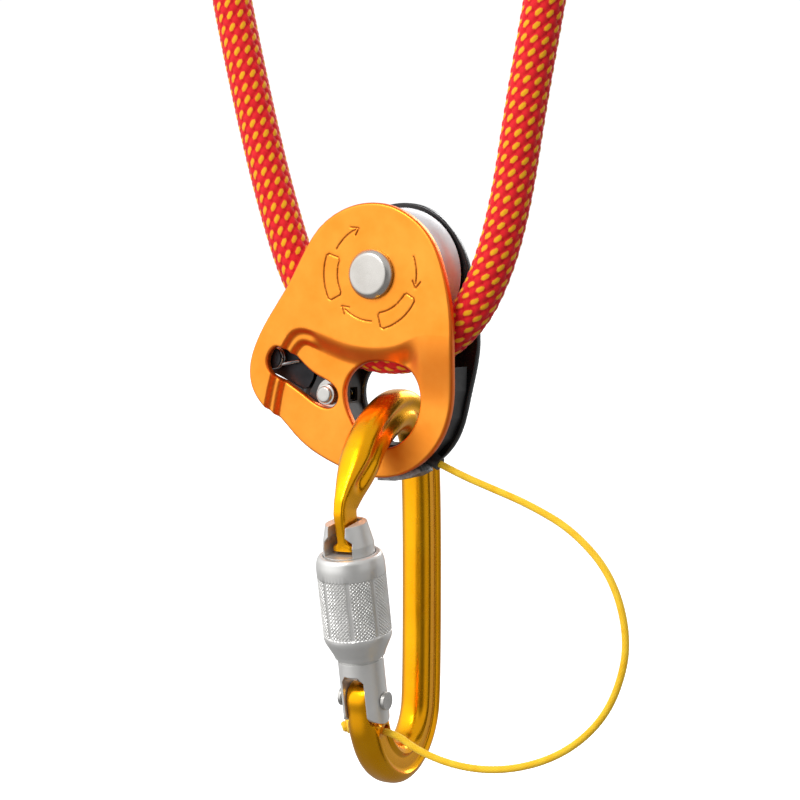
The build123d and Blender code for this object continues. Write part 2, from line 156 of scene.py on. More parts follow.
def braid(name, P, R, count, pitch, ds, segs, wave, crown, body, mat, phase=0.0, fleck=True, ends=0.0):
    """A braided sheath: right-handed and left-handed strands going over and under each other on a tube."""
    P, s = even(P, ds)
    T, N, B = frames_along(P)
    th = np.linspace(0, 2 * np.pi, segs, endpoint=False)
    S, U = np.meshgrid((s + phase) / pitch, th / (2 * np.pi) * count, indexing="ij")
    p, q = U - S, U + S
    rp, rq = np.round(p), np.round(q)
    dp, dq = p - rp, q - rq
    hz = wave * np.cos(np.pi * (q - rp)) + crown * (np.sqrt(np.maximum(0, 1 - 3.7 * dp ** 2)) - 1)
    hs = -wave * np.cos(np.pi * (p - rq)) + crown * (np.sqrt(np.maximum(0, 1 - 3.7 * dq ** 2)) - 1)
    top = hz > hs
    H = np.where(top, hz, hs)
    rad = R + H
    if ends:
        fade = np.clip(np.minimum(s, s[-1] - s) / ends, 0, 1)
        rad = rad * (0.55 + 0.45 * np.sqrt(1 - (1 - fade) ** 2))[:, None]
    co = P[:, None, :] + rad[:, :, None] * (np.cos(th)[None, :, None] * N[:, None, :] + np.sin(th)[None, :, None] * B[:, None, :])
    n = len(P)
    co = co.reshape(-1, 3)
    faces = grid_faces(n, segs)
    faces.append(tuple(range(segs - 1, -1, -1)))
    faces.append(tuple(range((n - 1) * segs, n * segs)))
    ob = make_obj(name, co, faces, body, mat=mat)
    e = (q - rp + 1) % 2 - 1
    f = np.clip((1 - (np.abs(dp) / 0.27) ** 2.5 - (np.abs(e) / 0.52) ** 3) * 3 + 0.4, 0, 1) * top
    if not fleck:
        f = f * 0
    me = ob.data
    a = me.attributes.new("fleck", "FLOAT", "POINT")
    a.data.foreach_set("value", f.ravel().astype(np.float32))
    # painted shade: the braid surface height, low in the grooves between strands; the cord material uses it to darken
    # the grooves and lighten the strand tops
    a = me.attributes.new("lit_ridge", "FLOAT", "POINT")
    a.data.foreach_set("value", np.clip((H / (wave + crown) + 0.75) / 1.2, 0, 1).ravel().astype(np.float32))
    fib = np.stack([np.where(top, p, q + 100), np.where(top, q, p), top.astype(float)], -1).reshape(-1, 3)
    a = me.attributes.new("fib", "FLOAT_VECTOR", "POINT")
    a.data.foreach_set("vector", fib.ravel().astype(np.float32))
    return ob


# ------------------------------------------------------------------ node materials
def new_mat(name):
    mt = bpy.data.materials.new(name)
    mt.use_nodes = True
    nt = mt.node_tree
    return mt, nt, nt.nodes["Principled BSDF"]


def node(nt, kind, inputs=(), **props):
    n = nt.nodes.new(kind)
    for k, v in props.items():
        setattr(n, k, v)
    for k, v in dict(inputs).items():
        if hasattr(v, "is_linked") or hasattr(v, "default_value") and hasattr(v, "links"):
            nt.links.new(v, n.inputs[k])
        else:
            n.inputs[k].default_value = v
    return n


def ramp(nt, fac, stops):
    n = nt.nodes.new("ShaderNodeValToRGB")
    el_ = n.color_ramp.elements
    el_[0].position, el_[0].color = stops[0][0], (*stops[0][1], 1)
    el_[1].position, el_[1].color = stops[-1][0], (*stops[-1][1], 1)
    for pos, col in stops[1:-1]:
        e = el_.new(pos)
        e.color = (*col, 1)
    nt.links.new(fac, n.inputs[0])
    return n.outputs[0]


def srgb(r, g, b):
    def f(c):
        c /= 255.0
        return c / 12.92 if c <= 0.04045 else ((c + 0.055) / 1.055) ** 2.4
    return (f(r), f(g), f(b))


def metal(name, dark, light, rough=(0.25, 0.35), metallic=1.0, grain=2500.0, depth=0.00001, strength=0.2,
          edge=0.0002, rings=0.0, coat=0.0, attr=None, attr_col=None, painted_shade_col=None, big=90.0, spec=0.5):
    """Metal with colour and gloss variation, an optional attribute colour, optional painted shade from a slope
    attribute, a fine surface grain, softened edges and optional turning rings.
    """
    mt, nt, bs = new_mat(name)
    tc = node(nt, "ShaderNodeTexCoord").outputs["Object"]
    n1 = node(nt, "ShaderNodeTexNoise", {"Vector": tc, "Scale": big, "Detail": 4.0, "Roughness": 0.6})
    col = ramp(nt, n1.outputs["Fac"], [(0.3, dark), (0.7, light)])
    if attr:
        at = node(nt, "ShaderNodeAttribute", attribute_name=attr)
        mx = nt.nodes.new("ShaderNodeMix")
        mx.data_type = "RGBA"
        nt.links.new(at.outputs["Fac"], mx.inputs[0])
        nt.links.new(col, mx.inputs[6])
        mx.inputs[7].default_value = (*attr_col, 1)
        col = mx.outputs[2]
    # painted shade: tints the base colour redder and darker where the slope attribute is high (steep steps and the
    # plate edges)
    if painted_shade_col:
        at = node(nt, "ShaderNodeAttribute", attribute_name="painted_slope_shade")
        mx = nt.nodes.new("ShaderNodeMix")
        mx.data_type = "RGBA"
        nt.links.new(at.outputs["Fac"], mx.inputs[0])
        nt.links.new(col, mx.inputs[6])
        mx.inputs[7].default_value = (*painted_shade_col, 1)
        col = mx.outputs[2]
    nt.links.new(col, bs.inputs["Base Color"])
    n2 = node(nt, "ShaderNodeTexNoise", {"Vector": tc, "Scale": big * 5, "Detail": 5.0})
    mr = node(nt, "ShaderNodeMapRange", {"Value": n2.outputs["Fac"], "From Min": 0.3, "From Max": 0.7,
                                         "To Min": rough[0], "To Max": rough[1]})
    nt.links.new(mr.outputs[0], bs.inputs["Roughness"])
    bs.inputs["Metallic"].default_value = metallic
    bs.inputs["Coat Weight"].default_value = coat
    bs.inputs["Coat Roughness"].default_value = 0.08
    bs.inputs["Specular IOR Level"].default_value = spec
    n3 = node(nt, "ShaderNodeTexNoise", {"Vector": tc, "Scale": grain, "Detail": 3.0})
    h = n3.outputs["Fac"]
    bump = node(nt, "ShaderNodeBump", {"Height": h, "Strength": strength, "Distance": depth})
    if edge:
        bv = node(nt, "ShaderNodeBevel", {"Radius": edge}, samples=4)
        nt.links.new(bv.outputs[0], bump.inputs["Normal"])
    out = bump
    if rings:
        w = node(nt, "ShaderNodeTexWave", {"Vector": tc, "Scale": rings, "Distortion": 0.6, "Detail": 2.0},
                 wave_type="RINGS", rings_direction="Y")
        out = node(nt, "ShaderNodeBump", {"Height": w.outputs["Fac"], "Strength": 0.25, "Distance": 0.00002,
                                          "Normal": bump.outputs[0]})
    nt.links.new(out.outputs[0], bs.inputs["Normal"])
    return mt


def plastic(name, dark, light, rough=0.45, grain=3000.0, edge=0.0002, metallic=0.0):
    return metal(name, dark, light, (rough - 0.06, rough + 0.08), metallic, grain, 0.00002, 0.25, edge)


def cord_mat(name, shaded_groove, mid, lit_ridge, fleck, rough=0.75):
    mt, nt, bs = new_mat(name)
    fib = node(nt, "ShaderNodeAttribute", attribute_name="fib")
    # painted shade: the braid height attribute darkens the grooves between strands and lightens the strand tops through
    # the ramp below
    hi = node(nt, "ShaderNodeAttribute", attribute_name="lit_ridge")
    fl = node(nt, "ShaderNodeAttribute", attribute_name="fleck")
    mp = node(nt, "ShaderNodeMapping", {"Vector": fib.outputs["Vector"], "Scale": (13.0, 1.1, 5.0)})
    n1 = node(nt, "ShaderNodeTexNoise", {"Vector": mp.outputs[0], "Scale": 1.0, "Detail": 3.0})
    tc = node(nt, "ShaderNodeTexCoord").outputs["Object"]
    n2 = node(nt, "ShaderNodeTexNoise", {"Vector": tc, "Scale": 320.0, "Detail": 2.0})
    ad = node(nt, "ShaderNodeMath", {0: n1.outputs["Fac"], 1: n2.outputs["Fac"]}, operation="ADD")
    ad2 = node(nt, "ShaderNodeMath", {0: ad.outputs[0], 1: hi.outputs["Fac"]}, operation="ADD")
    # colour ramp from random fibre tone plus painted groove shade
    c = ramp(nt, node(nt, "ShaderNodeMapRange", {"Value": ad2.outputs[0], "From Min": 0.75, "From Max": 1.95}).outputs[0],
             [(0.0, shaded_groove), (0.5, mid), (1.0, lit_ridge)])
    cy = ramp(nt, n1.outputs["Fac"], [(0.3, tuple(v * 0.82 for v in fleck)), (0.65, fleck)])
    mx = nt.nodes.new("ShaderNodeMix")
    mx.data_type = "RGBA"
    nt.links.new(fl.outputs["Fac"], mx.inputs[0])
    nt.links.new(c, mx.inputs[6])
    nt.links.new(cy, mx.inputs[7])
    nt.links.new(mx.outputs[2], bs.inputs["Base Color"])
    bs.inputs["Roughness"].default_value = rough
    bs.inputs["Sheen Weight"].default_value = 0.25
    bs.inputs["Sheen Roughness"].default_value = 0.4
    bs.inputs["Specular IOR Level"].default_value = 0.25
    bp = node(nt, "ShaderNodeBump", {"Height": n1.outputs["Fac"], "Strength": 0.55, "Distance": 0.00008})
    nt.links.new(bp.outputs[0], bs.inputs["Normal"])
    return mt


# the first three colours run from painted groove shade to lit strand tops, mixed with random yarn tone; the last is the
# fleck yarn colour
M_ROPE = cord_mat("rope_sheath", srgb(120, 4, 10), srgb(218, 14, 28), srgb(236, 34, 42), srgb(255, 184, 24))
M_LEASH = cord_mat("leash_braid", srgb(196, 120, 0), srgb(246, 186, 12), srgb(255, 214, 60), srgb(255, 200, 30))

# ------------------------------------------------------------------ cords
ROPE = [(-57, 0, 98), (-53, 0, 79), (-45.2, 0, 47), (-38.2, 0, 22), (-29.8, 0, -1.5), (-19.6, 0, -15.4),
        (-6, 0, -22.6), (12, 0, -21.3), (24.8, 0, -12.2), (32.4, 0, 2), (37.6, 0, 20), (42.0, 0, 46.2),
        (47, 0, 71), (51, 0, 92)]
LEASH = [(15.0, 0.6, -52.05), (22.0, 0.5, -55.0), (30.8, 0.2, -57.9), (43.6, -1.2, -61.8), (57.6, -2.6, -68.0),
         (69.8, -4.2, -79.3), (75.2, -5.8, -95.8), (72.4, -7.6, -110.2), (66.1, -9.2, -120.1), (55.7, -10.6, -127.9),
         (41.9, -11.6, -132.4), (28.5, -12.2, -132.8), (15.6, -12.2, -129.8), (7.4, -12.2, -124.9), (-4.1, -12.2, -124.9)]
rope_path = nurbs(ROPE, "rope_route")
leash_path = nurbs(LEASH, "leash_route")
rope = braid("rope_braid", rope_path, 5.5, 11, 3.56, 0.33, 132, 0.20, 0.55, "pulley", M_ROPE)


def end_knot(name, end, before, turn, body):
    """Barrel stopper knot: the strand runs up the middle, bends over and wraps back down round itself."""
    e, d = np.array(end, float), np.array(end, float) - np.array(before, float)
    d /= np.linalg.norm(d)
    x = np.array([0.0, 1.0, 0.0])
    y = np.cross(d, x)
    c = [(0, 0, -1.0), (0, 0, 8), (0, 0, 17), (-1.0, 0, 24), (1.5, 0.4, 28.6), (7.5, 1.0, 29.5)]
    for k in range(0, 17):
        a = math.radians(20 + k * 45)
        c.append((11.9 * math.cos(a), 11.9 * math.sin(a), 27.0 - k * 1.33))
    a = math.radians(20 + 17 * 45)
    c.append((10.5 * math.cos(a), 10.5 * math.sin(a), 3.6))
    a += math.radians(38)
    c.append((9.0 * math.cos(a), 9.0 * math.sin(a), -1.5))
    pts = [e + x * (p[0] * math.cos(turn) - p[1] * math.sin(turn)) + y * (p[0] * math.sin(turn) + p[1] * math.cos(turn)) + d * p[2] for p in c]
    P = nurbs(pts, name + "_route")
    return braid(name, P, 5.2, 11, 3.56, 0.4, 110, 0.16, 0.42, body, M_ROPE, ends=1.6)


kl = end_knot("rope_knot_left_braid", ROPE[0], ROPE[1], 0.6, "pulley")
kr = end_knot("rope_knot_right_braid", ROPE[-1], ROPE[-2], 2.4, "pulley")
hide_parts("rope")
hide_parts("rope_knot_left")
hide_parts("rope_knot_right")

leash = braid("leash_braid_cord", leash_path, 0.96, 8, 1.15, 0.12, 40, 0.05, 0.13, None, M_LEASH, fleck=False)
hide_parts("leash")
# overhand stopper on the leash, tight against the carabiner
KC = np.array([-4.3, -12.2, -124.9])
kp = [(0.4, 0, 0), (-1.0, 0, 0), (-2.6, 0.3, 0.5), (-3.4, 1.0, -0.4), (-2.6, 0.7, -1.4), (-1.2, -0.6, -1.3),
      (-0.9, -1.4, 0.0), (-1.4, -0.9, 1.3), (-2.4, 0.4, 1.4), (-3.2, 1.2, 0.6), (-3.3, 0.3, -0.9), (-2.5, -0.9, -1.0),
      (-2.6, -1.3, 0.2), (-3.5, -0.6, 0.6)]
lk = braid("leash_knot_cord", nurbs([tuple(KC + np.array(p)) for p in kp], "leash_knot_route"), 0.85, 8, 1.15, 0.12, 32,
           0.05, 0.12, "carabiner", M_LEASH, fleck=False, ends=0.4)
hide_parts("leash_knot")
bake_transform(leash)

# ------------------------------------------------------------------ materials
# the slope colour is painted shade for the steep steps and the plate edges; the attribute colour tints the engraving
M_ORANGE = metal("orange_anodised", srgb(243, 144, 40), srgb(252, 160, 56), (0.34, 0.44), 0.85, 3500, 0.00001, 0.25, 0.0,
                 attr="engr", attr_col=srgb(150, 60, 4), painted_shade_col=srgb(248, 84, 8))
M_BLACK = metal("black_anodised", (0.010, 0.010, 0.011), (0.016, 0.016, 0.018), (0.20, 0.30), 0.3, 3500, 0.00001, 0.2, 0.0, spec=0.6)
M_STEEL = metal("steel_satin", srgb(186, 182, 176), srgb(206, 203, 198), (0.22, 0.32), 1.0, 5000, 0.00001, 0.2, 0.00025, rings=1300)
M_STEELP = metal("steel_plain", srgb(176, 174, 170), srgb(200, 198, 194), (0.22, 0.34), 1.0, 5000, 0.00001, 0.2, 0.0002)
M_BEAR = metal("bearing_steel", srgb(190, 190, 192), srgb(214, 214, 216), (0.08, 0.16), 1.0, 6000, 0.000005, 0.15, 0.0001, rings=1800)
M_SHEAVE = metal("sheave_alloy", srgb(222, 222, 224), srgb(236, 236, 238), (0.34, 0.44), 0.8, 4000, 0.00001, 0.2, 0.0003, rings=900)
M_POLY = plastic("black_polymer", (0.012, 0.012, 0.013), (0.022, 0.022, 0.024), 0.42)
M_CAM = metal("cam_steel", (0.02, 0.02, 0.022), (0.045, 0.045, 0.05), (0.35, 0.5), 0.9, 4000, 0.00002, 0.3, 0.00015)
M_BRONZE = metal("bronze", srgb(150, 104, 52), srgb(190, 140, 76), (0.35, 0.5), 1.0, 3000, 0.00002, 0.3, 0.0001)
M_SPRING = metal("spring_steel", srgb(150, 150, 150), srgb(200, 200, 200), (0.15, 0.25), 1.0, 5000, 0.000005, 0.15, 0.0)
M_GOLD = metal("gold_anodised", srgb(247, 166, 4), srgb(254, 180, 14), (0.23, 0.29), 1.0, 2500, 0.000004, 0.10, 0.0, coat=0.1, big=60)
M_GATE = metal("gate_alloy", srgb(218, 217, 214), srgb(232, 231, 229), (0.40, 0.50), 0.7, 5000, 0.00001, 0.35, 0.0003)
M_KNURL = metal("sleeve_alloy", srgb(218, 217, 214), srgb(234, 233, 231), (0.34, 0.44), 0.7, 5000, 0.00001, 0.3, 0.0)
M_RUBBER = plastic("nitrile", (0.01, 0.01, 0.01), (0.02, 0.02, 0.02), 0.6)

M_WEAR = metal("wear_steel", srgb(84, 84, 86), srgb(170, 170, 172), (0.35, 0.6), 0.9, 1500, 0.00006, 0.7, 0.0002, big=700)

CAD_MATS = {
    "thrust_washers": M_BRONZE, "bearing_inner_ring": M_BEAR, "bearing_outer_ring": M_BEAR, "bearing_shields": M_BEAR,
    "bearing_balls": M_BEAR, "bearing_cage": M_BRONZE, "sheave": M_SHEAVE, "spacer_block": M_POLY, "spacer_rivets": M_STEELP,
    "wear_bar": M_WEAR, "leash_gland": M_POLY, "cam": M_CAM, "cam_bushing": M_BRONZE, "cam_pivot_pin": M_CAM,
    "cam_pin_clip": M_CAM, "cam_spring": M_SPRING, "release_button": M_STEELP, "button_bush": M_STEELP,
    "button_spring": M_SPRING, "gate_rivet": M_STEELP, "gate": M_GATE, "gate_plunger": M_STEELP, "gate_spring": M_SPRING,
    "sleeve_drag_ring": M_RUBBER, "wheel_axle": M_STEEL, "front_side_plate": M_ORANGE, "rear_side_plate": M_BLACK,
    "carabiner_body": M_GOLD, "lock_sleeve": M_KNURL,
}
for name, mt in CAD_MATS.items():
    o = nodes[name]
    o.data.materials.clear()
    o.data.materials.append(mt)

# ------------------------------------------------------------------ side plates
SHEET, DOME, LOW = 2.4, 10.3, 7.0
FRONT_OUTLINE = [(-0.1, 19.6), (5, 18.9), (9.6, 17.1), (15.5, 12.9), (19.1, 8.2), (22, 1), (23.8, -6.7),
                 (24.6, -18), (24, -25.3), (23.2, -32.1), (21.5, -40.4), (18.3, -46.7), (12.5, -52.2),
                 (6.5, -55.1), (-0.9, -56.2), (-7.6, -55.3), (-13.8, -53.2), (-20.8, -50), (-26.4, -46.2),
                 (-30.8, -42), (-36, -37.2), (-39.6, -32.4), (-40.6, -26.4), (-38.5, -19.3), (-34, -11.7),
                 (-27.5, -2.6), (-21.5, 7.5), (-17.6, 12.6), (-11.1, 17.2), (-5.5, 19.1)]
REAR_OUTLINE = [(0, 20.1), (5, 19.3), (10, 16.9), (14.9, 12.3), (18.3, 6.8), (20.6, 0.1), (22.2, -9),
                (23.2, -18.1), (23.1, -25), (22.2, -32.4), (20.8, -39.2), (18.1, -45.8), (13.2, -51.3),
                (6.5, -54.6), (-0.9, -55.7), (-7.6, -54.9), (-13.8, -52.8), (-20.8, -49.6), (-26.4, -45.8),
                (-30.8, -41.5), (-35.7, -36.8), (-39.1, -32.2), (-40.1, -26.4), (-38.0, -19.3), (-33.5, -11.7),
                (-27.1, -2.6), (-21.2, 7.7), (-17.2, 12.9), (-11.1, 17.6), (-5.5, 19.6)]
CREST = [(30, -17.0), (24, -17.0), (19.1, -16.6), (15.6, -16.6), (12, -17.6), (7.8, -19.3), (3.6, -20.0),
         (-2.5, -20.0), (-8.7, -19.0), (-13.7, -17.3), (-19.3, -15.4), (-23.1, -14.6), (-26.5, -15.4),
         (-29, -18.5), (-32, -24), (-34.5, -31), (-36.8, -42), (-42, -55), (-55, -50), (-55, 30), (35, 30)]
FOOT = [(30, -21.9), (24.5, -21.9), (19.5, -22.0), (17, -22.4), (14, -23.2), (9.5, -24.8), (4, -25.8),
        (-3, -25.8), (-10, -24.7), (-15.5, -22.8), (-20.8, -20.7), (-23.3, -19.8), (-24.6, -20.3),
        (-26.5, -22.2), (-29, -27), (-31.2, -33), (-33, -44), (-38, -58), (-55, -50), (-55, 30), (35, 30)]
HOLE = [(1.1, -23.9), (6, -24.5), (10, -26.4), (12.5, -29.6), (13.2, -33.4), (12.8, -37.4), (11.2, -41.4),
        (8.2, -45.2), (3.6, -47.6), (-1.2, -47.5), (-5.6, -45.1), (-8.8, -40.6), (-10.8, -35.8),
        (-10.9, -31.2), (-8.9, -27.4), (-5, -24.8)]
REAR_HOLE = [(1.1 + 1.05 * (x - 1.1), -34.3 + 1.05 * (z + 34.3)) for x, z in HOLE]
SLOT = [(-34.6, -24.9), (-34.0, -22.3), (-31.6, -20.3), (-28.8, -21.4), (-24.6, -25), (-20.6, -27.9),
        (-16.4, -29.9), (-13.8, -32.2), (-13.5, -35.0), (-15.4, -37.0), (-18.6, -36.9), (-23.3, -34.4),
        (-28.8, -31.0), (-33.1, -27.9)]


def loop_spline(P, step):
    """Smooth closed outline through the given points."""
    P = np.array(P, float)
    n = len(P)
    h = np.linalg.norm(np.roll(P, -1, 0) - P, axis=1)
    A, R = np.zeros((n, n)), np.zeros((n, 2))
    for i in range(n):
        j = (i + 1) % n
        A[i, i - 1] += h[i - 1]
        A[i, i] += 2 * (h[i - 1] + h[i])
        A[i, j] += h[i]
        R[i] = 6 * ((P[j] - P[i]) / h[i] - (P[i] - P[i - 1]) / h[i - 1])
    Q = np.linalg.solve(A, R)
    out = []
    for i in range(n):
        j = (i + 1) % n
        k = max(2, int(math.ceil(h[i] / step)))
        for t in np.linspace(0, 1, k, endpoint=False):
            a, b = 1 - t, t
            out.append(a * P[i] + b * P[j] + ((a ** 3 - a) * Q[i] + (b ** 3 - b) * Q[j]) * h[i] ** 2 / 6)
    return np.array(out)


def soften(P, rounds=2):
    """Corner-cut an open or closed polyline."""
    P = np.array(P, float)
    for _ in range(rounds):
        Q = np.roll(P, -1, 0)
        P = np.stack([0.75 * P + 0.25 * Q, 0.25 * P + 0.75 * Q], 1).reshape(-1, 2)
    return P


def dist_to(V, L, closed=True):
    A = L
    B = np.roll(L, -1, 0) if closed else L[1:]
    if not closed:
        A = L[:-1]
    best = np.full(len(V), 1e9)
    for a, b in zip(A, B):
        d = b - a
        l2 = d @ d
        if l2 < 1e-12:
            continue
        t = np.clip(((V - a) @ d) / l2, 0, 1)
        e = V - a - t[:, None] * d
        best = np.minimum(best, np.einsum("ij,ij->i", e, e))
    return np.sqrt(best)


def inside(V, L):
    x, z = V[:, 0], V[:, 1]
    c = np.zeros(len(V), bool)
    A, B = L, np.roll(L, -1, 0)
    for a, b in zip(A, B):
        if a[1] == b[1]:
            continue
        hit = ((a[1] > z) != (b[1] > z)) & (x < (b[0] - a[0]) * (z - a[1]) / (b[1] - a[1]) + a[0])
        c ^= hit
    return c


def smooth01(t):
    t = np.clip(t, 0, 1)
    return t * t * (3 - 2 * t)


def pol(r, a):
    return (r * math.cos(math.radians(a)), r * math.sin(math.radians(a)))


def arc(r0, r1, a0, a1, n=24):
    return [pol(r0 + (r1 - r0) * i / n, a0 + (a1 - a0) * i / n) for i in range(n + 1)]


def bean(ro0, ro1, ri0, ri1, a0, a1):
    """Closed bean-shaped groove between two radii."""
    pts = arc(ro0, ro1, a0 + 3, a1 - 3, 26)
    pts += [pol(ro1 - 0.6, a1 - 0.6), pol(ri1 + 0.6, a1 + 0.2)]
    pts += arc(ri1, ri0, a1 - 3, a0 + 3, 20)
    pts += [pol(ri0 + 0.6, a0 - 0.2), pol(ro0 - 0.6, a0 + 0.6), pts[0]]
    return np.array(pts)


ENGRAVE = [
    bean(15.5, 15.5, 11.1, 11.1, 157, 209), bean(15.3, 15.3, 10.8, 11.6, -80, -26),
    np.array(arc(13.3, 13.3, 148, 113)), np.array([pol(14.5, 117.5), pol(13.3, 108), pol(11.9, 116)]),
    np.array(arc(14.0, 14.0, 20, -11)), np.array([pol(12.9, -8), pol(14.2, -16), pol(15.4, -8.5)]),
    np.array(arc(12.9, 12.9, -91, -132)), np.array([pol(14.1, -129), pol(13.0, -138), pol(11.7, -129)]),
]
CREST_S, FOOT_S = soften(CREST), soften(FOOT)


def height(V, pleat):
    dc, df = dist_to(V, CREST_S), dist_to(V, FOOT_S)
    inc, inf_ = inside(V, CREST_S), inside(V, FOOT_S)
    t = np.where(inc, 1.0, np.where(~inf_, 0.0, df / (df + dc + 1e-9)))
    s = 0.25 * t + 0.75 * smooth01(t)
    if pleat:
        two = 0.52 * smooth01(t / 0.38) + 0.48 * smooth01((t - 0.62) / 0.38)
        w = smooth01((-17.5 - V[:, 0]) / 3.5)
        s = s * (1 - w) + two * w
    w = smooth01((V[:, 0] - 9.0) / 6.0)
    s = np.maximum(s, s * (1 - w) + smooth01((V[:, 1] + 37.0) / 21.0) * w)
    return LOW + (DOME - LOW) * s


def plate(name, outline, holes, sign, pleat, engraving, body, mat, replaced):
    loops = [loop_spline(outline, 0.5)] + [loop_spline(h, 0.45) for h in holes]
    V, E = [], []
    n = 0
    for L in loops:
        k = len(L)
        V.append(L)
        E += [(n + i, n + (i + 1) % k) for i in range(k)]
        n += k
    extra = []
    for li, L in enumerate(loops):
        d = np.roll(L, -1, 0) - np.roll(L, 1, 0)
        nrm = np.stack([-d[:, 1], d[:, 0]], 1)
        nrm /= np.linalg.norm(nrm, axis=1)[:, None]
        area = 0.5 * np.sum(L[:, 0] * np.roll(L[:, 1], -1) - L[:, 1] * np.roll(L[:, 0], -1))
        sg = (1 if area > 0 else -1) * (1 if li == 0 else -1)
        for off in (0.07, 0.2, 0.38, 0.6, 0.9):
            q = L + nrm * sg * off
            keep = np.ones(len(q), bool)
            for L2 in loops:
                keep &= dist_to(q, L2) > off * 0.93
            extra.append(q[keep])
    lo, hi = loops[0].min(0), loops[0].max(0)
    st = 0.6
    rows = []
    for i, z in enumerate(np.arange(lo[1], hi[1], st * 0.866)):
        xs = np.arange(lo[0] + (i % 2) * st / 2, hi[0], st)
        rows.append(np.stack([xs, np.full(len(xs), z)], 1))
    G = np.concatenate(rows)
    lines = []
    for L in (CREST_S, FOOT_S):
        Q = np.concatenate([L, L[:1]])
        seg = []
        for a, b in zip(Q[:-1], Q[1:]):
            k = max(1, int(np.linalg.norm(b - a) / 0.5))
            seg += [a + (b - a) * t for t in np.linspace(0, 1, k, endpoint=False)]
        seg = np.array(seg)
        d = np.gradient(seg, axis=0)
        nn = np.stack([-d[:, 1], d[:, 0]], 1)
        nn /= np.linalg.norm(nn, axis=1)[:, None] + 1e-9
        for off in (-0.25, 0.0, 0.25):
            lines.append(seg + nn * off)
    if engraving:
        for L in ENGRAVE:
            seg = []
            for a, b in zip(L[:-1], L[1:]):
                k = max(1, int(np.linalg.norm(b - a) / 0.28))
                seg += [a + (b - a) * t for t in np.linspace(0, 1, k, endpoint=False)]
            seg = np.array(seg + [L[-1]])
            d = np.gradient(seg, axis=0)
            nn = np.stack([-d[:, 1], d[:, 0]], 1)
            nn /= np.linalg.norm(nn, axis=1)[:, None] + 1e-9
            for off in (-0.42, -0.24, 0.0, 0.24, 0.42):
                lines.append(seg + nn * off)
    W = np.concatenate([G] + lines)
    keep = inside(W, loops[0])
    for L in loops[1:]:
        keep &= ~inside(W, L)
    W = W[keep]
    dmin = np.full(len(W), 1e9)
    for L in loops:
        dmin = np.minimum(dmin, dist_to(W, L))
    W = W[dmin > 1.1]
    allv = np.concatenate(V + extra + [W])
    # drop near-duplicates
    key = np.round(allv / 0.12).astype(int)
    _, first = np.unique(key, axis=0, return_index=True)
    must = np.arange(n)
    idx = np.concatenate([must, np.sort(first[first >= n])])
    allv = allv[idx]
    res = geometry.delaunay_2d_cdt([Vector(v) for v in allv], E, [], 0, 1e-6)
    P2 = np.array([tuple(v) for v in res[0]])
    tri = np.array([f for f in res[2] if len(f) == 3])
    cen = P2[tri].mean(1)
    ok = inside(cen, loops[0])
    for L in loops[1:]:
        ok &= ~inside(cen, L)
    tri = tri[ok]
    used = np.unique(tri)
    remap = -np.ones(len(P2), int)
    remap[used] = np.arange(len(used))
    P2, tri = P2[used], remap[tri]
    H = height(P2, pleat)
    db = np.full(len(P2), 1e9)
    for L in loops:
        db = np.minimum(db, dist_to(P2, L))
    rf, rb = 0.75, 0.35
    drop = np.where(db < rf, rf - np.sqrt(np.maximum(0, rf ** 2 - (rf - np.minimum(db, rf)) ** 2)), 0)
    dropb = np.where(db < rb, rb - np.sqrt(np.maximum(0, rb ** 2 - (rb - np.minimum(db, rb)) ** 2)), 0)
    engr = np.zeros(len(P2))
    if engraving:
        for L in ENGRAVE:
            engr = np.maximum(engr, np.clip(1.25 - dist_to(P2, L, False) / 0.26, 0, 1))
    front = np.stack([P2[:, 0], sign * (H - drop - 0.22 * smooth01(engr)), P2[:, 1]], 1)
    rear_ = np.stack([P2[:, 0], sign * (height(P2, False) - SHEET + dropb), P2[:, 1]], 1)
    m_ = len(P2)
    co = np.concatenate([front, rear_])
    # boundary edges
    ed = {}
    for t in tri:
        for a, b in ((t[0], t[1]), (t[1], t[2]), (t[2], t[0])):
            key = (min(a, b), max(a, b))
            ed[key] = None if key in ed else (a, b)
    faces = [tuple(t) for t in tri] + [(t[0] + m_, t[2] + m_, t[1] + m_) for t in tri]
    for v in ed.values():
        if v is not None:
            a, b = v
            faces.append((b, a, a + m_, b + m_))
    ob = make_obj(name, co, faces, body, sharp=50, mat=mat)
    bm = bmesh.new()
    bm.from_mesh(ob.data)
    bmesh.ops.recalc_face_normals(bm, faces=bm.faces)
    bm.to_mesh(ob.data)
    bm.free()
    # painted shade: steep slopes and a band along the edges get a darker, redder tint through the slope attribute; the
    # back face gets half strength
    tilt = np.zeros(len(P2))
    for k, dv in enumerate(((0.15, 0.0), (0.0, 0.15))):
        dh = (height(P2 + np.array(dv), pleat) - height(P2 - np.array(dv), pleat)) / 0.3
        tilt += dh ** 2
    rim = np.clip((0.5 - db) / 0.3, 0, 1)
    painted_shade = np.clip(np.sqrt(tilt) * 0.75, 0, 0.85)
    painted_shade = np.maximum(painted_shade, 0.6 * rim)
    at = ob.data.attributes.new("painted_slope_shade", "FLOAT", "POINT")
    at.data.foreach_set("value", np.concatenate([painted_shade, np.full(m_, 0.5)]).astype(np.float32))
    at = ob.data.attributes.new("engr", "FLOAT", "POINT")
    at.data.foreach_set("value", np.concatenate([smooth01(engr) * 0.85, np.zeros(m_)]).astype(np.float32))
    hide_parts(replaced)
    return ob


BORE = [pol(4.05, a) for a in range(0, 360, 20)]
front = plate("front_plate_sheet", FRONT_OUTLINE, [HOLE, SLOT, BORE], -1, True, True, "front_plate", M_ORANGE, "front_side_plate")
rear = plate("rear_plate_sheet", REAR_OUTLINE, [REAR_HOLE, BORE], 1, False, False, "pulley", M_BLACK, "rear_side_plate")


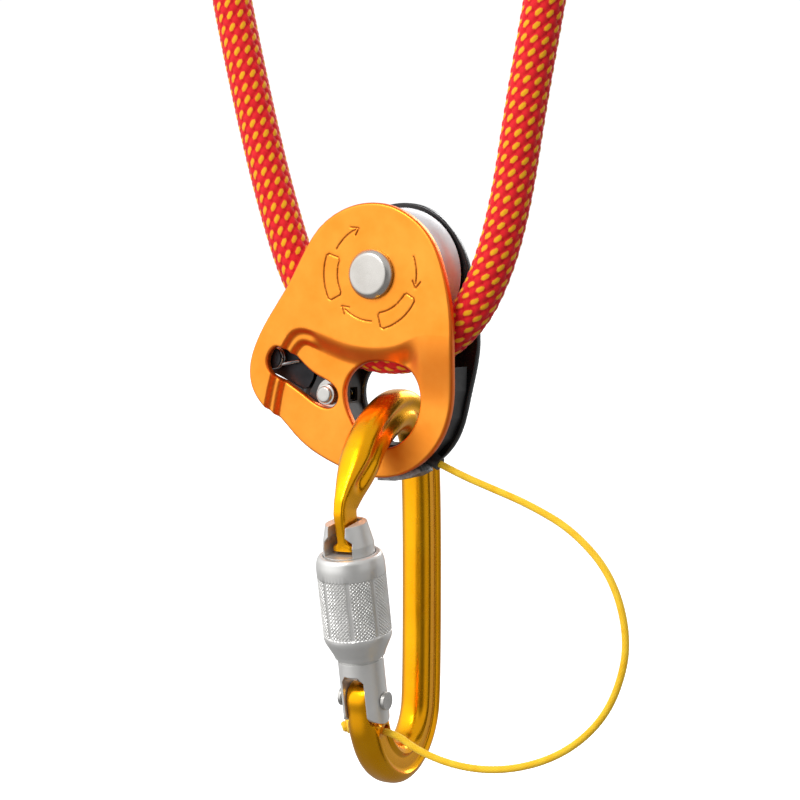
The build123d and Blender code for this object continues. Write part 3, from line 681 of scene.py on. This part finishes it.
# ------------------------------------------------------------------ turned pieces
def rounded(profile, r, n=4):
    """Round the inner corners of an open profile."""
    P = [np.array(p, float) for p in profile]
    out = [P[0]]
    for a, b, c in zip(P[:-2], P[1:-1], P[2:]):
        la, lc = np.linalg.norm(a - b), np.linalg.norm(c - b)
        k = min(r, la * 0.45, lc * 0.45)
        p, q = b + (a - b) / la * k, b + (c - b) / lc * k
        for t in np.linspace(0, 1, n):
            out.append((1 - t) ** 2 * p + 2 * t * (1 - t) * b + t * t * q)
    out.append(P[-1])
    return out


def lathe(name, profile, centre, body, mat, segs=128, sharp=35):
    """Turn a profile of (radius, y) about a line parallel to Y through centre (x, z)."""
    co = []
    th = np.linspace(0, 2 * np.pi, segs, endpoint=False)
    for r, y in profile:
        co.append(np.stack([centre[0] + r * np.cos(th), np.full(segs, y), centre[1] + r * np.sin(th)], 1))
    ob = make_obj(name, np.concatenate(co), grid_faces(len(profile), segs), body, mat=mat)
    tidy(ob)
    ob.data.shade_smooth()
    ob.data.set_sharp_from_angle(angle=math.radians(sharp))
    return ob


axle = lathe("axle_turned", rounded([(0, -12.66), (0.4, -12.68), (5.2, -12.72), (5.7, -12.6), (6.45, -11.9), (6.75, -11.5), (6.9, -11.1), (6.9, -10.42), (4.0, -10.42), (4.0, 10.3), (6.4, 10.3),
                                     (6.4, 11.4), (5.4, 12.2), (0.8, 12.2), (0.5, 12.0), (0, 12.0)], 0.22), (0, 0), "pulley", M_STEEL)
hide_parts("wheel_axle")
button = lathe("button_turned", rounded([(0, -8.42), (0.6, -8.42), (1.2, -8.41), (1.9, -8.36), (2.15, -8.2), (2.3, -7.9), (2.3, -7.3),
                                         (2.9, -7.3), (2.9, -1.75), (3.7, -1.75), (3.7, -1.2), (1.3, -1.2), (1.3, 0.2), (0, 0.2)], 0.15),
               (-17.0, -33.5), "button", M_STEELP, segs=72)
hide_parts("release_button")


# ------------------------------------------------------------------ coil springs
def coil(name, centre, axis, r, wire, length, turns, body, mat, tail=None, segs=14):
    """Closed and ground coil spring from centre along axis; an optional straight leg follows."""
    ax = np.array(axis, float)
    ax /= np.linalg.norm(ax)
    ref = np.array([1.0, 0, 0]) if abs(ax[0]) < 0.9 else np.array([0, 0, 1.0])
    e1 = ref - ax * (ref @ ax)
    e1 /= np.linalg.norm(e1)
    e2 = np.cross(ax, e1)
    pts = []
    n = int(turns * 40)
    for i in range(n + 1):
        f = i / n
        a = 2 * np.pi * turns * f
        g = np.clip((f * turns - 0.7) / max(0.1, turns - 1.4), 0, 1)
        h = wire + (length - 2 * wire) * g
        pts.append(np.array(centre) + ax * h + r * (math.cos(a) * e1 + math.sin(a) * e2))
    n_coil = len(pts)
    if tail is not None:
        pts.append(np.array(tail[0], float))
        pts.append(np.array(tail[1], float))
    P = np.array(pts)
    T, N, B = frames_along(P, ref=tuple(ax))
    th = np.linspace(0, 2 * np.pi, segs, endpoint=False)
    rad = np.full((len(P), 1, 1), wire)
    rad[n_coil:] = 0.5
    co = P[:, None, :] + rad * (np.cos(th)[None, :, None] * N[:, None, :] + np.sin(th)[None, :, None] * B[:, None, :])
    faces = grid_faces(len(P), segs) + [tuple(range(segs - 1, -1, -1)), tuple(range((len(P) - 1) * segs, len(P) * segs))]
    return make_obj(name, co.reshape(-1, 3), faces, body, mat=mat)


cs = coil("cam_spring_coil", (-35.0, -6.6, -23.5), (0, 1, 0), 2.85, 0.42, 2.25, 2.6, "pulley", M_SPRING,
          tail=((-36.4, -5.5, -26.1), (-26.6, -5.4, -24.3)))
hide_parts("cam_spring")
bsn = coil("button_spring_coil", (-17.0, -1.1, -33.5), (0, 1, 0), 2.15, 0.3, 5.6, 5.0, "pulley", M_SPRING)
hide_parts("button_spring")
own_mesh(bsn)

# ------------------------------------------------------------------ carabiner
CX, HY, HZ, LEAN = 1.2, -16.2, -116.0, math.radians(11.2)


def gate_pt(x, v, s):
    return np.array([x, HY - math.sin(LEAN) * s - math.cos(LEAN) * v, HZ + math.cos(LEAN) * s - math.sin(LEAN) * v])


G_UP = gate_pt(0, 0, 1) - gate_pt(0, 0, 0)
G_OUT = gate_pt(0, 1, 0) - gate_pt(0, 0, 0)
gs = coil("gate_spring_coil", gate_pt(CX, 0, 15.3), G_UP, 1.85, 0.32, 14.4, 9.0, "gate", M_SPRING)
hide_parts("gate_spring")

BODY = [(-26.2, -62.0), (-24.4, -58.4), (-20.4, -53.0), (-13.4, -43.6), (0.8, -36.3), (11.0, -40.2), (15.6, -51.5), (15.6, -119),
        (13.4, -128.4), (7.2, -135.3), (-1.2, -137.4), (-9.2, -133.0), (-13.8, -125.4), (-15.6, -119.2)]


def bspline(P, n=40):
    P = [np.array(p, float) for p in P]
    mids = [P[0]] + [(P[i] + P[i + 1]) / 2 for i in range(1, len(P) - 2)] + [P[-1]]
    out = []
    for i in range(1, len(P) - 1):
        a, b, c = mids[i - 1], P[i], mids[i]
        for t in np.linspace(0, 1, n, endpoint=False):
            out.append((1 - t) ** 2 * a + 2 * t * (1 - t) * b + t * t * c)
    out.append(P[-1])
    return np.array(out)


def carabiner():
    core = bspline(BODY)
    top = np.array([(gate_pt(0, 0, s)[1], gate_pt(0, 0, s)[2]) for s in (43.1, 43.6, 44.6, 45.6, 48, 50, 51.5, 53.0)])
    L = np.concatenate([top, core, [[HY - 0.3, HZ], [HY - 0.4, HZ + 4.79]]])
    P3 = np.stack([np.zeros(len(L)), L[:, 0], L[:, 1]], 1)
    P, s = even(P3, 0.45)
    P = P[:, 1:]
    T = np.gradient(P, axis=0)
    for _ in range(3):
        T[1:-1] = (T[:-2] + T[1:-1] + T[2:]) / 3
    T /= np.linalg.norm(T, axis=1)[:, None]
    # towards the inside of the loop
    NI = np.stack([-T[:, 1], T[:, 0]], 1)
    cen = np.array([-2.0, -85.0])
    if np.mean(np.einsum("ij,ij->i", NI, cen - P)) < 0:
        NI = -NI
    s0 = 54.0 - 43.1
    s_body = s0 + 15.5
    n = len(P)
    K = 72
    th = np.linspace(0, 2 * np.pi, K, endpoint=False)
    co = []
    for i in range(n):
        a = s[i]
        rem = s[-1] - a
        # half sizes and squareness of the section
        if a < s0:
            w = a / s0
            hv = 3.4 + 0.6 * smooth01(np.array(w))
            hx = 1.75
            if a < 2.6:
                hx = 3.5 - 1.75 * smooth01(np.array((a - 0.9) / 1.5))
            ex = 5.0
        elif a < s_body:
            w = (a - s0) / (s_body - s0)
            w = 0.5 * w + 0.5 * float(smooth01(np.array(w)))
            hx, hv, ex = 1.75 + (4.9 - 1.75) * w, 4.0 + (5.65 - 4.0) * w, 5.0 - 2.3 * w
        else:
            hx, hv, ex = 4.9, 5.65, 2.7
        if rem < 14.0:
            hv = 5.65 - 0.85 * smooth01(np.array((14.0 - rem) / 8.0))
        if rem < 4.8:
            hv = math.sqrt(max(0.02, 4.8 ** 2 - (4.8 - rem) ** 2))
        # I section: grooves along both flat sides, fading at the neck and at the hinge
        g = smooth01(np.array((a - s_body - 26.0) / 8.0)) * smooth01(np.array((rem - 11.0) / 6.0))
        deep = 1.25 * float(g)
        hook = 1.15 * float(smooth01(np.array((a - s0 - 4.0) / 4.5)) * (1 - g) * smooth01(np.array((rem - 14.0) / 6.0)))
        c, sn = np.cos(th), np.sin(th)
        den = (np.abs(c) ** ex + np.abs(sn) ** ex) ** (1 / ex)
        x, v = hx * c / den, hv * sn / den
        flat = np.clip((np.abs(x) / hx - 0.55) / 0.3, 0, 1)
        groove = smooth01((2.9 - np.abs(v - 0.2)) / 1.1)
        x = x - np.sign(x) * (deep * groove + hook * smooth01((2.6 - np.abs(v + 0.6)) / 2.4)) * flat
        if rem < 30 and a > s_body:
            yy, zz = P[i, 0] + v * NI[i, 0], P[i, 1] + v * NI[i, 1]
            dh = np.hypot(yy - HY, zz - HZ)
            lim = 3.1 + 1.9 * smooth01((dh - 6.75) / 0.55)
            x = np.clip(x, -lim, lim)
        co.append(np.stack([CX + x, P[i, 0] + v * NI[i, 0], P[i, 1] + v * NI[i, 1]], 1))
    faces = grid_faces(n, K) + [tuple(range(K - 1, -1, -1)), tuple(range((n - 1) * K, n * K))]
    ob = make_obj("carabiner_frame", np.concatenate(co), faces, "carabiner", mat=M_GOLD)
    bm = bmesh.new()
    bm.from_mesh(ob.data)
    bmesh.ops.recalc_face_normals(bm, faces=bm.faces)
    bm.to_mesh(ob.data)
    bm.free()
    # leash hole
    me = bpy.data.meshes.new("drill")
    bm = bmesh.new()
    bmesh.ops.create_cone(bm, cap_ends=True, segments=40, radius1=1.5 * MM, radius2=1.5 * MM, depth=20 * MM,
                          matrix=Matrix.Translation((CX * MM, -12.2 * MM, -124.9 * MM)) @ Matrix.Rotation(math.pi / 2, 4, "Y"))
    bm.to_mesh(me)
    bm.free()
    dr = bpy.data.objects.new("drill", me)
    scene.collection.objects.link(dr)
    md = ob.modifiers.new("hole", "BOOLEAN")
    md.operation, md.object, md.solver = "DIFFERENCE", dr, "EXACT"
    dg = bpy.context.evaluated_depsgraph_get()
    new = bpy.data.meshes.new_from_object(ob.evaluated_get(dg))
    ob.modifiers.clear()
    old = ob.data
    ob.data = new
    bpy.data.meshes.remove(old)
    bpy.data.objects.remove(dr)
    ob.data.shade_smooth()
    ob.data.set_sharp_from_angle(angle=math.radians(50))
    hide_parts("carabiner_body")
    return ob


carabiner()


# ------------------------------------------------------------------ knurled lock sleeve
def sleeve():
    K = 400
    th = np.linspace(0, 2 * np.pi, K, endpoint=False)
    prof = [(6.95, 12.6), (8.0, 16.2), (9.0, 17.9), (9.4, 18.9), (9.4, 19.6)]
    rows = []
    outer = rounded([(6.1, 12.6), (6.9, 12.6), (7.15, 13.6), (8.3, 15.9), (9.15, 17.6), (9.4, 18.6), (9.4, 19.3)], 1.1, 6)
    s_knurl = np.arange(19.3, 36.2, 0.14)
    tail = rounded([(9.4, 36.2), (9.4, 39.0), (8.9, 41.0), (8.3, 41.8), (7.3, 41.8)], 0.9, 6)
    inner = [(7.25, 41.5), (7.25, 26.2), (6.1, 26.2), (6.1, 12.6)]

    def ring(r, s, disp=None):
        rr = np.full(K, r) + (disp if disp is not None else 0)
        o = gate_pt(CX, 0, s)
        ex = np.array([1.0, 0, 0])
        return o[None, :] + rr[:, None] * (np.cos(th)[:, None] * ex[None, :] + np.sin(th)[:, None] * G_OUT[None, :])

    for r, s in outer:
        rows.append(ring(r, s))
    n_k = 56
    for s in s_knurl:
        k = smooth01(np.array((s - 19.3) / 0.5)) * smooth01(np.array((36.2 - s) / 0.5))
        a = th * n_k / (2 * np.pi) + s / 1.0
        b = th * n_k / (2 * np.pi) - s / 1.0
        tri = lambda t: 2 * np.abs(t - np.floor(t + 0.5))
        pyr = np.minimum(tri(a), tri(b))
        d = -0.34 * (1 - np.clip(pyr * 1.7, 0, 1)) * k
        # eight axial grooves
        g = (th / (2 * np.pi) * 8 - 0.5)
        gd = np.abs(g - np.round(g)) / 8 * 2 * np.pi * 9.4
        d = np.minimum(d, -0.45 * smooth01((0.75 - gd) / 0.35) * k)
        d = np.where(gd < 0.9, np.maximum(d, -0.45), d)
        rows.append(ring(9.4, s, d))
    for r, s in tail:
        rows.append(ring(r, s))
    for r, s in inner:
        rows.append(ring(r, s))
    co = np.concatenate(rows)
    n = len(rows)
    faces = grid_faces(n, K)
    a, b = (n - 1) * K, 0
    faces += [(a + j, a + (j + 1) % K, b + (j + 1) % K, b + j) for j in range(K)]
    ob = make_obj("lock_sleeve_knurled", co, faces, "lock_sleeve", mat=M_KNURL)
    bm = bmesh.new()
    bm.from_mesh(ob.data)
    bmesh.ops.recalc_face_normals(bm, faces=bm.faces)
    bm.to_mesh(ob.data)
    bm.free()
    ob.data.set_sharp_from_angle(angle=math.radians(32))
    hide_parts("lock_sleeve")
    return ob


sleeve()

# ------------------------------------------------------------------ studio
def stage_mat(name, c1, c2, rough=0.9):
    mt, nt, bs = new_mat(name)
    tc = node(nt, "ShaderNodeTexCoord").outputs["Object"]
    n1 = node(nt, "ShaderNodeTexNoise", {"Vector": tc, "Scale": 6.0, "Detail": 2.0})
    nt.links.new(ramp(nt, n1.outputs["Fac"], [(0.3, c1), (0.7, c2)]), bs.inputs["Base Color"])
    bs.inputs["Roughness"].default_value = rough
    return mt


def card(name, centre, size, look, mat, hide=True):
    me = bpy.data.meshes.new(name)
    w, h = size[0] / 2, size[1] / 2
    me.from_pydata([(-w, -h, 0), (w, -h, 0), (w, h, 0), (-w, h, 0)], [], [(0, 1, 2, 3)])
    ob = bpy.data.objects.new(name, me)
    scene.collection.objects.link(ob)
    me.materials.append(mat)
    ob.location = centre
    ob.rotation_euler = (Vector(look) - Vector(centre)).to_track_quat("Z", "Y").to_euler()
    if hide:
        ob.visible_camera = False
    return ob


M_FLOOR = stage_mat("floor_paper", (0.9, 0.9, 0.9), (0.93, 0.93, 0.93))
M_FLOOR.node_tree.nodes["Principled BSDF"].inputs["Emission Color"].default_value = (1, 1, 1, 1)
M_FLOOR.node_tree.nodes["Principled BSDF"].inputs["Emission Strength"].default_value = 0.55
floor = card("floor", (0, 0, -0.26), (60, 60), (0, 0, 1.0), M_FLOOR, hide=False)
floor.visible_glossy = False
floor.visible_diffuse = False
M_DARK = stage_mat("dark_card", (0.03, 0.022, 0.018), (0.05, 0.035, 0.03))
focus = Vector((0, 0, -0.03))
card("dark_card_right", focus + right * 0.55 + back * 0.10 - up * 0.05, (0.22, 0.8), focus, M_DARK)


def area(name, centre, size, power, look=focus, colour=(1, 1, 1)):
    li = bpy.data.lights.new(name, "AREA")
    li.shape, li.size, li.energy, li.color = "SQUARE", size, power, colour
    ob = bpy.data.objects.new(name, li)
    scene.collection.objects.link(ob)
    ob.location = centre
    ob.rotation_euler = (Vector(look) - Vector(centre)).to_track_quat("-Z", "Y").to_euler()
    return ob


area("key", focus + back * 0.55 - right * 0.50 + up * 0.55, 0.30, 3.6)
area("rim", focus - back * 0.5 + right * 0.35 + up * 0.45, 0.4, 3.0)
world = bpy.data.worlds.new("studio")
scene.world = world
world.use_nodes = True
wn = world.node_tree
wn.nodes.clear()
out = wn.nodes.new("ShaderNodeOutputWorld")
b1, b2, mix = wn.nodes.new("ShaderNodeBackground"), wn.nodes.new("ShaderNodeBackground"), wn.nodes.new("ShaderNodeMixShader")
b1.inputs["Color"].default_value = (1, 1, 1, 1)
way = wn.nodes.new("ShaderNodeTexCoord").outputs["Generated"]


def lobe(direction, lo, hi, out_lo, out_hi):
    """Strength that changes smoothly with the angle from a fixed direction."""
    d = Vector(direction).normalized()
    dp = node(wn, "ShaderNodeVectorMath", {0: way, 1: tuple(d)}, operation="DOT_PRODUCT")
    return node(wn, "ShaderNodeMapRange", {"Value": dp.outputs["Value"], "From Min": lo, "From Max": hi, "To Min": out_lo,
                                           "To Max": out_hi}, interpolation_type="SMOOTHSTEP").outputs[0]


sky = lobe((0, 0, 1), -0.6, 0.3, 0.30, 0.72)
soft = lobe((-0.60, -0.74, 0.30), 0.45, 1.0, 0.0, 0.85)
room = lobe(back + right * 0.08, 0.86, 0.985, 1.0, 0.22)
su = node(wn, "ShaderNodeMath", {0: sky, 1: soft}, operation="ADD")
st = node(wn, "ShaderNodeMath", {0: su.outputs[0], 1: room}, operation="MULTIPLY")
wn.links.new(st.outputs[0], b1.inputs["Strength"])
b2.inputs["Color"].default_value = (1, 1, 1, 1)
b2.inputs["Strength"].default_value = 1.05
lp = wn.nodes.new("ShaderNodeLightPath")
wn.links.new(lp.outputs["Is Camera Ray"], mix.inputs[0])
wn.links.new(b1.outputs[0], mix.inputs[1])
wn.links.new(b2.outputs[0], mix.inputs[2])
wn.links.new(mix.outputs[0], out.inputs["Surface"])
scene.view_settings.view_transform = "Standard"
